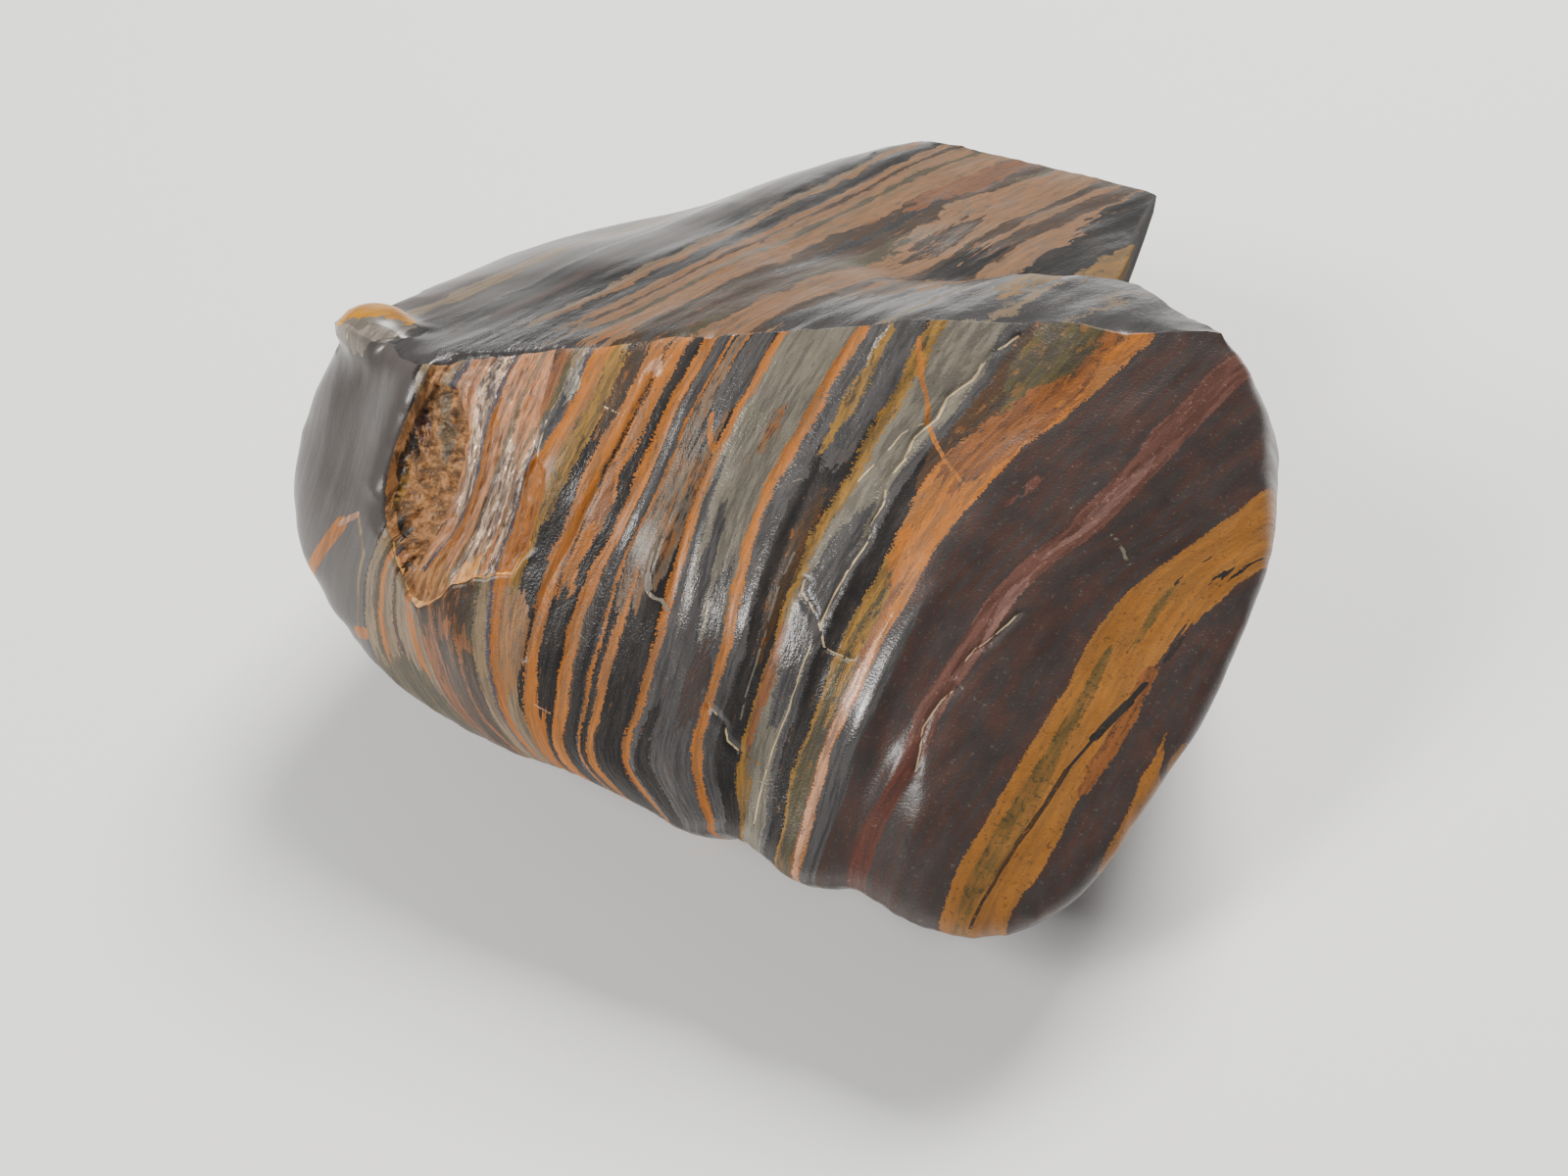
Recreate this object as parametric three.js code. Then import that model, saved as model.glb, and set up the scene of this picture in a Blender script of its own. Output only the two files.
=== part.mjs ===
// Rough tiger iron: one solid piece of banded stone, about 70 x 68 x 36 mm.
// Millimetres, +Z up, the broad banded face towards -Y, resting on z = 0.
import * as THREE from "three";
import { ConvexHull } from "three/addons/math/ConvexHull.js";

// The heart of the stone. Every facet is given by its reach from here.
const heart = new THREE.Vector3(0, 0, 18);

// Facets as [name, bearing from +X in degrees, tilt above the horizon in degrees, reach in mm].
// The broad front face: three planes that run softly into one another.
const faceFacets = facets([
  ["upper face", 266, 60, 14.2],
  ["lower left face", 249, 37, 16.6],
  ["right face", 290, 50, 18],
]);

// Facets that trim the whole stone.
const trimFacets = facets([
  ["right flank", 350, 22, 34.2],
  ["right flank bulge", 352, -6, 33.8],
  ["lower right flank", 340, -12, 32],
  ["lower right belly", 338, -28, 28.7],
  ["chin right", 302, -30, 32.9],
  ["chin", 270, -35, 29],
  ["front belly", 244, -44, 20.5],
  ["left belly", 231, -34, 24.3],
  ["left hip", 200, -12, 32.5],
  ["lower left bevel", 245, -10, 24.5],
  ["left bevel", 231, 13, 23.4],
  ["left shoulder", 217, 27, 26.2],
  ["high left shoulder", 206, 36, 27],
  ["left cheek", 187, 9, 34.6],
  ["high left cheek", 168, 28, 33.9],
  ["left corner", 134, 35, 29.4],
  ["left back", 146, 4, 32.6],
  ["back", 96, -4, 36.1],
  ["back right", 70, -10, 37.7],
  ["back belly", 100, -38, 28],
  ["back right belly", 48, -40, 28.5],
  ["left back belly", 172, -38, 27],
  ["left hip belly", 203, -50, 24],
  ["right belly", 350, -42, 29],
]);

// The top is two crests: a front strip behind the broad face, and a back crest that stands
// behind it and sticks out to the right. The notch between them is open on the right, down to
// a saddle.
const stripFacets = facets([
  ["strip", 99, 65, 16.7],
  ["strip right end", 74, 66, 20],
  ["strip right corner", 36, 20, 29.7],
  ["strip drop", 85, 20, 16.8],
  ["strip right drop", 42, 30, 29.6],
  ["strip left end", 160, 45, 22],
]);
const crestFacets = facets([
  ["roof", 105, 68, 17.4],
  ["shelf", 71, 74, 16.2],
  ["crest right", 67, 45, 33.2],
  ["crest middle", 72, 50, 29.8],
  ["crest left", 114, 50, 23],
  ["crest tip front", 338, -6, 15.7],
  ["crest tip end", 20, 10, 39.2],
]);
const saddleFacets = facets([
  ["saddle top", 70, 80, 7],
  ["saddle right", 22, 42, 17],
  ["saddle left", 165, 15, 3],
]);
const crests = [stripFacets, crestFacets, saddleFacets];

// Rounding: the higher, the crisper the ridge between two facets.
const softRidge = 44;
const crispRidge = 80;
const notchFillet = 45;

// The iron-rich layers stand nearly upright and strike from front left to back right.
// Ribs and grooves follow them: [layer position mm, height mm, half width mm].
const layerNormal = new THREE.Vector3(0.755, -0.634, 0.169);
const ribs = [
  [1.5, -0.15, 2],
  [6, 0.2, 1.8],
  [11.2, 0.35, 2],
  [16.4, -0.25, 2],
  [19.8, 0.35, 1.6],
  [22.6, -0.3, 1.6],
  [26, 0.35, 1.9],
];
// Grooves that bite only into the lower front edge.
const edgeGrooves = [
  [14.8, -1.2, 1.9],
  [23.4, -0.7, 1.9],
  [28.6, 0.2, 1.5],
];
const edgeGrooveTop = 24;
const edgeGrooveFade = 12;

// Flake scar on the left of the face, drawn square to the face:
// [x, distance up the face from the heart] in mm.
const faceUp = new THREE.Vector3(0, 0.766, 0.643);
const scarOutline = [
  [-23.3, 11.6], [-24.6, 9.1], [-26.1, 6.3], [-27.3, 3.3], [-27.5, 0.7], [-26.8, -2],
  [-25.9, -4.9], [-25.2, -5.5], [-23.5, -4.9], [-21.9, -4], [-21.1, -3.7], [-19.6, -3.5],
  [-18.4, -3.2], [-17.4, -2], [-16.9, -0.1], [-16.3, 1.4], [-16.1, 3.3], [-16.6, 4.8],
  [-16.8, 6], [-16.5, 7.4], [-16, 9.5], [-15.6, 11.6],
];
const scarDepthLeft = 0.75;
const scarDepthRight = 0.3;
// The ragged pit inside the scar, along its left rim.
const pitOutline = [
  [-23.8, 9.3], [-22, 9], [-21.6, 6.1], [-22.4, 2.3], [-23.9, -0.4], [-25.9, -2.6],
  [-26.6, -1.7], [-27, 1], [-26.8, 3.5], [-25.7, 6.2],
];
const pitDepth = 0.8;

// Pale nub on the top left corner.
const nubCentre = new THREE.Vector3(-28.3, 6.9, 31.6);
const nubHeight = 1.9;
const nubRadius = 3.5;

// Slow swells of the worn surface: [wave vector x, y, z in radians per mm, height mm].
const swells = [
  [0.21, 0.12, -0.17, 0.22],
  [-0.13, 0.27, 0.2, 0.2],
  [0.34, -0.2, 0.29, 0.12],
];

// Broad shallow hollows: [x, y, z, radius mm, depth mm].
const hollows = [
  [12, 15, 28, 8, 1.1],
  [-8, 36, 12, 13, 1.3],
  [17, 33, 8, 9, 1],
  [-29, 20, 12, 11, 1.2],
  [-14, -17, 7, 10, 0.9],
  [31, 8, 12, 9, 1],
  [-10, 24, 27, 9, 0.6],
];

// Mesh spacing in mm.
const faceSpacing = 1.2;
const topSpacing = 1.5;
const hiddenSpacing = 2.05;
const scarSpacing = 0.8;
const ridgeCloser = 0.8;
const ridgeCatch = 0.45;
const probeCount = 64000;

function facets(rows) {
  return rows.map(([, bearing, tilt, reach]) => {
    const a = THREE.MathUtils.degToRad(bearing);
    const t = THREE.MathUtils.degToRad(tilt);
    const normal = new THREE.Vector3(
      Math.cos(a) * Math.cos(t),
      Math.sin(a) * Math.cos(t),
      Math.sin(t),
    );
    return { normal, reach };
  });
}

// Nearness of a facet along a direction: one over its distance from the heart.
function nearness(facet, direction) {
  return Math.max(0, facet.normal.dot(direction)) / facet.reach;
}

// The nearest facet wins, with the ridges between facets rounded.
function meet(values, crispness) {
  const most = Math.max(...values, 1e-6);
  const sum = values.reduce((total, v) => total + (v / most) ** crispness, 0);
  return most * sum ** (1 / crispness);
}

// The farthest crest wins, with the notch between crests filleted.
function join(values, crispness) {
  const least = Math.max(1e-6, Math.min(...values));
  const sum = values.reduce((total, v) => total + Math.max(1, v / least) ** -crispness, 0);
  return least * sum ** (-1 / crispness);
}

function smoothStep(low, high, value) {
  return THREE.MathUtils.smoothstep(value, low, high);
}

// Distance from a point to a closed outline, positive inside.
function insideBy(outline, x, y) {
  let inside = false;
  let nearest = Infinity;
  outline.forEach(([x1, y1], i) => {
    const [x2, y2] = outline[(i + 1) % outline.length];
    const along = ((x - x1) * (x2 - x1) + (y - y1) * (y2 - y1)) / ((x2 - x1) ** 2 + (y2 - y1) ** 2);
    const t = THREE.MathUtils.clamp(along, 0, 1);
    nearest = Math.min(nearest, Math.hypot(x - x1 - t * (x2 - x1), y - y1 - t * (y2 - y1)));
    if (y1 > y !== y2 > y && x < x1 + ((y - y1) / (y2 - y1)) * (x2 - x1)) inside = !inside;
  });
  return inside ? nearest : -nearest;
}

// How far inside the scar and the pit a point of the stone lies.
function scarInside(point, outline) {
  const up = point.clone().sub(heart).dot(faceUp);
  return point.y > 3 ? -10 : insideBy(outline, point.x, up);
}

function bell(offset, halfWidth) {
  return Math.exp(-((offset / halfWidth) ** 2));
}

// Radial relief on top of the facets, in mm.
function relief(point) {
  const layer = point.dot(layerNormal);
  const onTop = smoothStep(-2, 6, point.y);
  let height = 0;
  for (const [centre, rise, halfWidth] of ribs) {
    height += rise * bell(layer - centre, halfWidth) * (1 - 0.6 * onTop);
  }
  const high = smoothStep(edgeGrooveTop - edgeGrooveFade, edgeGrooveTop, point.z);
  for (const [centre, rise, halfWidth] of edgeGrooves) {
    height += rise * bell(layer - centre, halfWidth) * (1 - high) * (1 - onTop);
  }
  for (const [kx, ky, kz, rise] of swells) {
    height += rise * Math.sin(kx * point.x + ky * point.y + kz * point.z);
  }
  for (const [x, y, z, radius, depth] of hollows) {
    const away = point.distanceTo(new THREE.Vector3(x, y, z)) / radius;
    height -= depth * Math.max(0, 1 - away ** 2) ** 1.5;
  }
  const scar = smoothStep(-0.15, 0.35, scarInside(point, scarOutline));
  const acrossScar = THREE.MathUtils.clamp((point.x + 27) / 11, 0, 1);
  height -= scar * THREE.MathUtils.lerp(scarDepthLeft, scarDepthRight, acrossScar);
  height -= pitDepth * smoothStep(-0.2, 0.8, scarInside(point, pitOutline));
  height += nubHeight * (1 - smoothStep(0.35 * nubRadius, nubRadius, point.distanceTo(nubCentre)));
  return height;
}

// The point of the stone's surface along a direction from the heart.
function surfacePoint(direction) {
  const face = meet(faceFacets.map((f) => nearness(f, direction)), softRidge);
  const trim = trimFacets.map((f) => nearness(f, direction));
  const tops = crests.map((list) => meet(list.map((f) => nearness(f, direction)), crispRidge));
  const top = join(tops, notchFillet);
  const bare = direction.clone().divideScalar(meet([face, top, ...trim], crispRidge)).add(heart);
  const worn = bare.clone().addScaledVector(direction, relief(bare));
  // The stone rests on a flat base.
  if (worn.z < 0) worn.lerp(heart, worn.z / (worn.z - heart.z));
  return worn;
}

// The two facets that are nearest along a direction, out of those that shape the stone there.
function ridgeAt(direction) {
  const base = { normal: new THREE.Vector3(0, 0, -1), reach: heart.z };
  const nearest = (list) => Math.max(...list.map((f) => nearness(f, direction)));
  const [lower, higher] = [...crests].sort((a, b) => nearest(a) - nearest(b));
  const acting = [base, ...faceFacets, ...trimFacets, ...lower];
  acting.sort((a, b) => nearness(b, direction) - nearness(a, direction));
  const ridge = [acting[0], acting[1]];
  const rival = higher.reduce((a, b) => (nearness(b, direction) > nearness(a, direction) ? b : a));
  // Where the notch runs closer by than the next ridge, the notch is the line to follow.
  const gap = nearness(rival, direction) - nearness(ridge[0], direction);
  const step = nearness(ridge[0], direction) - nearness(ridge[1], direction);
  if (lower.includes(ridge[0]) && gap < step) ridge[1] = rival;
  return ridge;
}

// The nearest direction on the ridge between the two facets, when it is closer than a limit in mm.
function snapToRidge(direction, limit) {
  const [a, b] = ridgeAt(direction);
  const across = a.normal.clone().divideScalar(a.reach);
  across.addScaledVector(b.normal, -1 / b.reach);
  const size = across.length();
  across.divideScalar(size);
  const offset = across.dot(direction);
  const distance = Math.abs(offset) / nearness(a, direction);
  if (distance > limit) return null;
  return direction.clone().addScaledVector(across, -offset).normalize();
}

function spacingAt(point) {
  if (point.z < 0.01) return hiddenSpacing;
  if (scarInside(point, scarOutline) > -0.8) return scarSpacing;
  if (point.distanceTo(nubCentre) < nubRadius + 0.5) return scarSpacing;
  const facesFront = point.y < 3 && point.z > 6;
  if (facesFront) return faceSpacing;
  return point.z > 22 ? topSpacing : hiddenSpacing;
}

// Directions spread evenly over the sphere, along a spiral from pole to pole.
function spiral(count) {
  const golden = Math.PI * (3 - Math.sqrt(5));
  return Array.from({ length: count }, (_, i) => {
    const z = 1 - (2 * i + 1) / count;
    const across = Math.sqrt(1 - z * z);
    return new THREE.Vector3(Math.cos(golden * i) * across, Math.sin(golden * i) * across, z);
  });
}

// Picks mesh points: first along the ridges, then everywhere else, none closer than the spacing.
function pickPoints() {
  const cellSize = 3;
  const cells = new Map();
  const picked = [];
  const cellOf = (v) => Math.floor(v / cellSize);
  function tooClose(a, b, spacing) {
    const apart = a.direction.distanceTo(b.direction) * b.point.distanceTo(heart);
    return a.point.distanceTo(b.point) < spacing || apart < 0.6 * spacing;
  }
  function offer(direction, point, spacing) {
    const [i, j, k] = [cellOf(point.x), cellOf(point.y), cellOf(point.z)];
    const fresh = { direction, point };
    for (let a = i - 1; a <= i + 1; a++) {
      for (let b = j - 1; b <= j + 1; b++) {
        for (let c = k - 1; c <= k + 1; c++) {
          const near = cells.get(`${a},${b},${c}`) || [];
          if (near.some((other) => tooClose(other, fresh, spacing))) return;
        }
      }
    }
    const key = `${i},${j},${k}`;
    cells.set(key, [...(cells.get(key) || []), fresh]);
    picked.push(fresh);
  }
  const probes = spiral(probeCount);
  for (const probe of probes) {
    const onRidge = snapToRidge(probe, ridgeCatch);
    if (!onRidge) continue;
    const point = surfacePoint(onRidge);
    offer(onRidge, point, ridgeCloser * spacingAt(point));
  }
  for (const probe of probes) {
    const point = surfacePoint(probe);
    offer(probe, point, spacingAt(point));
  }
  return picked;
}

// Seen from the heart the points lie on a sphere, whose convex hull joins them into triangles.
function stoneGeometry() {
  const picked = pickPoints();
  const onSphere = picked.map(({ direction }) => direction);
  const rank = new Map(onSphere.map((direction, i) => [direction, i]));
  const index = [];
  for (const face of new ConvexHull().setFromPoints(onSphere).faces) {
    const corners = [];
    let edge = face.edge;
    do {
      corners.push(rank.get(edge.head().point));
      edge = edge.next;
    } while (edge !== face.edge);
    index.push(...corners);
  }
  const geometry = new THREE.BufferGeometry();
  geometry.setFromPoints(picked.map(({ point }) => point));
  geometry.setIndex(index);
  return geometry;
}

const geometry = stoneGeometry();
geometry.computeBoundingBox();
const middle = geometry.boundingBox.getCenter(new THREE.Vector3());
geometry.translate(-middle.x, -middle.y, 0);
geometry.computeVertexNormals();

const stone = new THREE.Mesh(
  geometry,
  new THREE.MeshStandardMaterial({ color: 0x6b4630, roughness: 0.45, metalness: 0.1 }),
);
stone.name = "tiger_iron";

const group = new THREE.Group();
group.add(stone);
export default group;
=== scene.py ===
import math
from types import SimpleNamespace

import bmesh
import bpy
import numpy as np
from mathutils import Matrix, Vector, noise


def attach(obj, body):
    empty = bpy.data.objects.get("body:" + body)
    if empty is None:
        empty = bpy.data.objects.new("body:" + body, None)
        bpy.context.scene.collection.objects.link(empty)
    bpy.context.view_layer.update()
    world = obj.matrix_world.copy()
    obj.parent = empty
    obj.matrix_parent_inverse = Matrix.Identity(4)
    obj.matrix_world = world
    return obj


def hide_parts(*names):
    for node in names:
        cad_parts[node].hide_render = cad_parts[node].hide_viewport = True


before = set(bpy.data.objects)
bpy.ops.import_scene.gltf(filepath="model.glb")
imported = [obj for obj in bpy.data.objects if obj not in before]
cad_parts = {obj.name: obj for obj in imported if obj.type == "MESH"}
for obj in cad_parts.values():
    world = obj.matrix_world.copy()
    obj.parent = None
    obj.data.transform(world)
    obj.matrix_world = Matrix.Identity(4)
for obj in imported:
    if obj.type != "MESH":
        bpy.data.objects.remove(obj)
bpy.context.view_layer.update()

# how the layers lie in the stone, in mm: layer position runs across the layers, rise runs up
# the broad face, strike runs along them, and out stands straight on the broad face
layering = {
    "across": (0.755, -0.634, 0.169),
    "acrossShift": -2.25,
    "up": (0.0, 0.766, 0.643),
    "upShift": -9.07,
    "along": (0.643, 0.766, 0.0),
    "out": (0.0, -0.643, 0.766),
    # where the guide layers wander: layer name -> position across at each rise
    "rises": (-20, -16, -12, -8, -4, 0, 4, 8, 12),
    "guides": {
        -10.0: (2.0, -3.0, -8.0, -10.2, -10.1, -8.3, -7.7, -8.5, -9.2),
        -4.0: (4.5, 0.5, -2.3, -3.75, -4.35, -4.25, -4.25, -4.25, -4.9),
        1.3: (7.0, 2.6, 1.6, 1.2, 1.25, 1.95, 1.75, 1.2, 1.0),
        7.0: (10.5, 7.0, 7.0, 7.15, 6.9, 5.95, 5.1, 4.9, 4.75),
        11.3: (13.2, 11.5, 11.3, 11.3, 10.45, 9.35, 8.85, 8.7, 8.7),
        14.0: (14.9, 14.0, 13.9, 13.9, 13.3, 13.0, 12.6, 12.5, 12.2),
        19.6: (19.9, 19.5, 19.75, 19.5, 19.55, 19.8, 20.3, 21.9, 23.4),
        24.0: (23.0, 24.0, 23.7, 23.9, 24.2, 25.7, 26.8, 27.6, 28.6),
        29.0: (29.1, 29.05, 28.95, 28.85, 29.4, 31.7, 33.0, 34.3, 35.5),
    },
}


def smoothRow(heights, values, at):
    # a smooth curve through the values, one for each height
    heights = np.array(heights, float)
    values = np.array(values, float)
    at = np.clip(at, heights[0], heights[-1])
    i = np.clip(np.searchsorted(heights, at, side="right") - 1, 0, len(heights) - 2)
    span = heights[i + 1] - heights[i]
    t = (at - heights[i]) / span
    slope = np.gradient(values, heights)
    return (
        values[i] * (2 * t**3 - 3 * t**2 + 1)
        + slope[i] * span * (t**3 - 2 * t**2 + t)
        + values[i + 1] * (3 * t**2 - 2 * t**3)
        + slope[i + 1] * span * (t**3 - t**2)
    )


def layerSpace(points):
    # layer, rise and strike of each point (points in mm)
    across = points @ np.array(layering["across"]) + layering["acrossShift"]
    rise = points @ np.array(layering["up"]) + layering["upShift"]
    strike = points @ np.array(layering["along"])
    names = sorted(layering["guides"])
    rows = [smoothRow(layering["rises"], layering["guides"][n], rise) for n in names]
    layer = np.where(across < rows[0], names[0] + across - rows[0], names[-1] + across - rows[-1])
    for low, high, lowName, highName in zip(rows, rows[1:], names, names[1:]):
        between = (across >= low) & (across < high)
        layer = np.where(
            between, lowName + (across - low) / (high - low) * (highName - lowName), layer
        )
    return layer, rise, strike


def climb(spot):
    # how far up the broad face a vertex lies, in m
    return layering["up"][1] * spot.y + layering["up"][2] * spot.z


def smoothStep(values, low, high):
    t = np.clip((values - low) / (high - low), 0, 1)
    return t * t * (3 - 2 * t)


def inBand(values, low, high, soft):
    # 1 between low and high, fading over soft at both ends
    up = np.clip((values - low) / soft + 0.5, 0, 1)
    down = np.clip((high - values) / soft + 0.5, 0, 1)
    both = np.minimum(up, down)
    return both * both * (3 - 2 * both)


def bell(values, tall, middle, half):
    # a rounded rib: its height, where its middle is and half its width
    return tall * np.exp(-(((values - middle) / half) ** 2))


def layerNoise(places, tall, fine, stretch, seed):
    # noise drawn out along the layers: fine per mm across, stretch per mm along
    values = [
        noise.noise(Vector((a * fine + seed, b * stretch, c * stretch)))
        for a, b, c in zip(*places)
    ]
    return tall * np.array(values)


stone = {
    "weldWithin": 1e-6,           # m
    "smoothing": (3, 3),          # passes after each round of splitting
    "smoothShare": 0.5,
    "restsBelow": 0.0002,         # m; points this low keep their height
    "crispEdges": (0.0215, 0.3),  # m up the broad face and bend, past which none is rounded
    "sharpEdges": (0.0205, 0.4),  # the same for edges that are shaded sharp
    "softened": [(-14.3, 28.0, 17.6, 4.5)],  # a fold on the back worn away: place and reach
    "softenPasses": 25,
    "finerNear": (0.8, 0.45),     # mm round the broken patch and the cracks with finer faces
    # where each part of the stone starts and where it is full: in mm, or how far it faces that way
    "topFacing": (0.42, 0.82),
    "topRise": (8, 10),
    "rearRise": (15, 16),
    "rearDepth": (3, 6),
    "farFacing": (0.5, 0.8),
    "farRise": (12, 14),
    "scarEdge": (-0.05, 0.2),
    "scarTop": (11, 12.5),
    "scarDeepens": (13, 20),
    "pitEdge": (-0.15, 0.35),
    "lobeEdge": (13.5, 15),
    "nubReach": (1.2, 3.2),
    "baseEdge": (0.3, 1.3),
    # raised and sunken layers: middle, half width, height, lowest and highest rise
    "ribs": [
        (5.7, 0.55, 0.38, -5, 3),
        (8.6, 0.8, 0.32, -9, 4),
        (5.6, 0.22, 0.2, -4, 2.5),
        (7.9, 0.4, 0.16, -8, 2),
        (12.4, 0.62, 0.3, -8, 2),
        (12.85, 0.16, -0.14, -6, 4),
        (13.37, 0.16, 0.16, -11, -1),
        (15.35, 0.85, 0.36, -12, 2),
        (16.35, 0.52, 0.27, -14, -3),
        (20.7, 0.8, 0.4, -17, -4.5),
        (23.6, 0.55, 0.44, -19, -14.5),
        (26.2, 0.8, 0.31, -21, -17),
        (7.0, 0.35, -0.18, -17, 13),
        (11.3, 0.35, -0.18, -18, 13),
        (1.5, 0.4, -0.12, -13, 13),
        (-3.5, 0.45, -0.12, -14, 12),
        (3.3, 0.3, -0.12, -14, 12),
        (14.1, 0.25, -0.12, -18, 9),
        (18.6, 0.7, -0.15, -20, 9),
        (2.6, 0.4, 0.15, -14, 12),
    ],
    "ribFade": 4,
    # noise in the surface: height, fineness across and along the layers, seed
    "lamina": (0.08, 1.1, 0.12, 3.7),
    "fineLamina": (0.04, 2.6, 0.3, 11.2),
    "swell": (0.14, 0.17, 0.17, 5),
    "scarGrain": (0.3, 1.5, 0.25, 21),
    "scarFine": (0.17, 3.2, 1.0, 8),
    "crumbs": (1.0, 0.75, 0.75, 2),
    "fineCrumbs": (0.5, 1.9, 1.9, 6),
    "crumbHeight": 0.8,
    "crumbLevel": 0.25,
    "wornInScar": 0.6,            # share of the lamina worn away in the broken patch
    "wornOnLobe": 0.75,           # and on the smooth left end
    # outline of the broken patch and of the pit in it: (x, rise)
    "outlineShift": 0.243,
    "faceFrom": 16,               # mm out from the middle, which leaves out the hidden side
    "scar": [
        (-23.1, 12.4), (-24.4, 9.1), (-25.9, 6.3), (-27.1, 3.3), (-27.3, 0.7), (-26.6, -2),
        (-25.7, -4.7), (-25.1, -5.5), (-24.3, -5.3), (-23.4, -4.8), (-22.6, -4.0), (-21.7, -3.9),
        (-21.0, -3.5), (-20.2, -3.6), (-19.4, -3.3), (-18.4, -3.3), (-17.9, -2.4), (-17.2, -1.8),
        (-16.7, 0), (-16.3, 0.9), (-16.1, 1.6), (-15.9, 3.3), (-16.4, 4.4), (-16.6, 5.0),
        (-16.3, 6.2), (-16.3, 7.4), (-15.8, 9.5), (-15.2, 12.4),
    ],
    "pit": [
        (-23.6, 9.6), (-21.9, 9.2), (-21.6, 6.1), (-22.4, 2.3), (-23.7, -0.4), (-25.3, -3.1),
        (-26.0, -2.8), (-26.5, -1.2), (-26.9, 1), (-26.7, 3.5), (-25.6, 6.2),
    ],
    "scarStep": 0.15,
    "scarDepth": 0.4,
    "pitDepth": 0.55,
    "lip": (0.14, -0.3, 0.3),     # height, place from the patch's edge, half width
    "lipRise": (-7, -2, 1),       # lowest and highest rise, and how softly it ends
    # cracks that can be felt: (layer, rise) from end to end
    "cracks": [
        ((16.3, 12.6), (15.9, 11), (15.95, 9.6), (15.6, 8.4), (15.75, 7), (15.5, 5.6), (15.75, 4.2),
         (15.6, 3), (15.95, 1.2), (16.0, -0.2), (16.25, -1.2), (16.1, -3.2), (16.2, -5),
         (16.0, -6.8)),
        ((14.4, -3.8), (14.5, -4.6), (15.3, -5.7), (16.1, -7), (16.7, -8.2), (18.5, -9.0)),
        ((25.1, -6), (24.7, -7.8), (24.15, -8.6), (24.05, -10)),
        ((24.6, -10.8), (24.15, -12.5), (24.2, -14.2), (24.65, -16.2)),
        ((11.3, -12), (12.6, -13.3), (13.0, -14.5), (13.75, -15.2)),
        ((-0.25, 10), (-0.3, 5), (-0.45, 2), (-0.6, -1), (-0.9, -4), (-1.15, -7), (-1.3, -9)),
    ],
    "crackEdge": (0.04, 0.4, 0.2),  # height, place from the crack, half width
    "crackCut": (0.16, 0, 0.14),
    "nub": (-28.1, 3.7, 31.6),
    "nubHeight": 0.7,
}


def toLine(across, up, start, end):
    # distance in mm to a straight line between two points
    (ax, ay), (bx, by) = start, end
    t = ((across - ax) * (bx - ax) + (up - ay) * (by - ay)) / ((bx - ax) ** 2 + (by - ay) ** 2)
    t = np.clip(t, 0, 1)
    return np.hypot(across - ax - t * (bx - ax), up - ay - t * (by - ay))


def insideOutline(across, up, outline):
    # distance to the outline in mm, above zero inside it
    nearest = np.full(len(across), np.inf)
    inside = np.zeros(len(across), bool)
    tiny = 1e-12  # keeps a level edge from dividing by zero
    for (ax, ay), (bx, by) in zip(outline, outline[1:] + outline[:1]):
        nearest = np.minimum(nearest, toLine(across, up, (ax, ay), (bx, by)))
        crosses = (ay > up) != (by > up)
        side = ax + (up - ay) / (by - ay + tiny) * (bx - ax)
        inside ^= crosses & (across < side)
    return np.where(inside, nearest, -nearest)


def scarMasks(points, rise, settings):
    across = points[:, 0] - settings["outlineShift"]
    front = points @ np.array(layering["out"]) > settings["faceFrom"]
    outside = -9  # mm, for what lies behind
    scar = np.where(front, insideOutline(across, rise, settings["scar"]), outside)
    pit = np.where(front, insideOutline(across, rise, settings["pit"]), outside)
    return scar, pit


def crackDistance(layer, rise, cracks):
    # distance in mm to the nearest crack, measured on the face
    nearest = np.full(len(layer), np.inf)
    for points in cracks:
        for start, end in zip(points, points[1:]):
            nearest = np.minimum(nearest, toLine(layer, rise, start, end))
    return nearest


def pointsOf(bm):
    return np.array([v.co for v in bm.verts]) * 1000


def bentEdges(bm, height, bend):
    # edges high on the stone that are bent more than this
    return [
        e for e in bm.edges if climb(e.verts[0].co) > height and e.calc_face_angle(0) > bend
    ]


def smoothVerts(bm, verts, share, heightToo=True):
    bmesh.ops.smooth_vert(
        bm, verts=verts, factor=share, use_axis_x=True, use_axis_y=True, use_axis_z=heightToo
    )


def wearDown(bm, settings):
    # split the faces and round the edges, but for the crest; the flat below stays flat
    share, low = settings["smoothShare"], settings["restsBelow"]
    for passes in settings["smoothing"]:
        bmesh.ops.subdivide_edges(bm, edges=bm.edges, cuts=1, use_grid_fill=True)
        crest = {v for e in bentEdges(bm, *settings["crispEdges"]) for v in e.verts}
        free = [v for v in bm.verts if v.co.z > low and v not in crest]
        resting = [v for v in bm.verts if v.co.z <= low]
        for _ in range(passes):
            smoothVerts(bm, free, share)
            smoothVerts(bm, resting, share, heightToo=False)
    for x, y, z, reach in settings["softened"]:
        fold = [v for v in bm.verts if (v.co * 1000 - Vector((x, y, z))).length < reach]
        for _ in range(settings["softenPasses"]):
            smoothVerts(bm, fold, share)


def addFinerFaces(bm, settings):
    # finer faces where the broken patch has its edges and along the cracks
    points = pointsOf(bm)
    layer, rise, _ = layerSpace(points)
    scar, _ = scarMasks(points, rise, settings)
    bm.verts.index_update()
    nearScar, nearCrack = settings["finerNear"]
    wanted = (scar > -nearScar) | (crackDistance(layer, rise, settings["cracks"]) < nearCrack)
    edges = [e for e in bm.edges if wanted[e.verts[0].index] and wanted[e.verts[1].index]]
    bmesh.ops.subdivide_edges(bm, edges=edges, cuts=1, use_grid_fill=True)
    bmesh.ops.triangulate(bm, faces=[f for f in bm.faces if len(f.verts) > 4])
    bm.normal_update()
    return len(edges)


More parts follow.
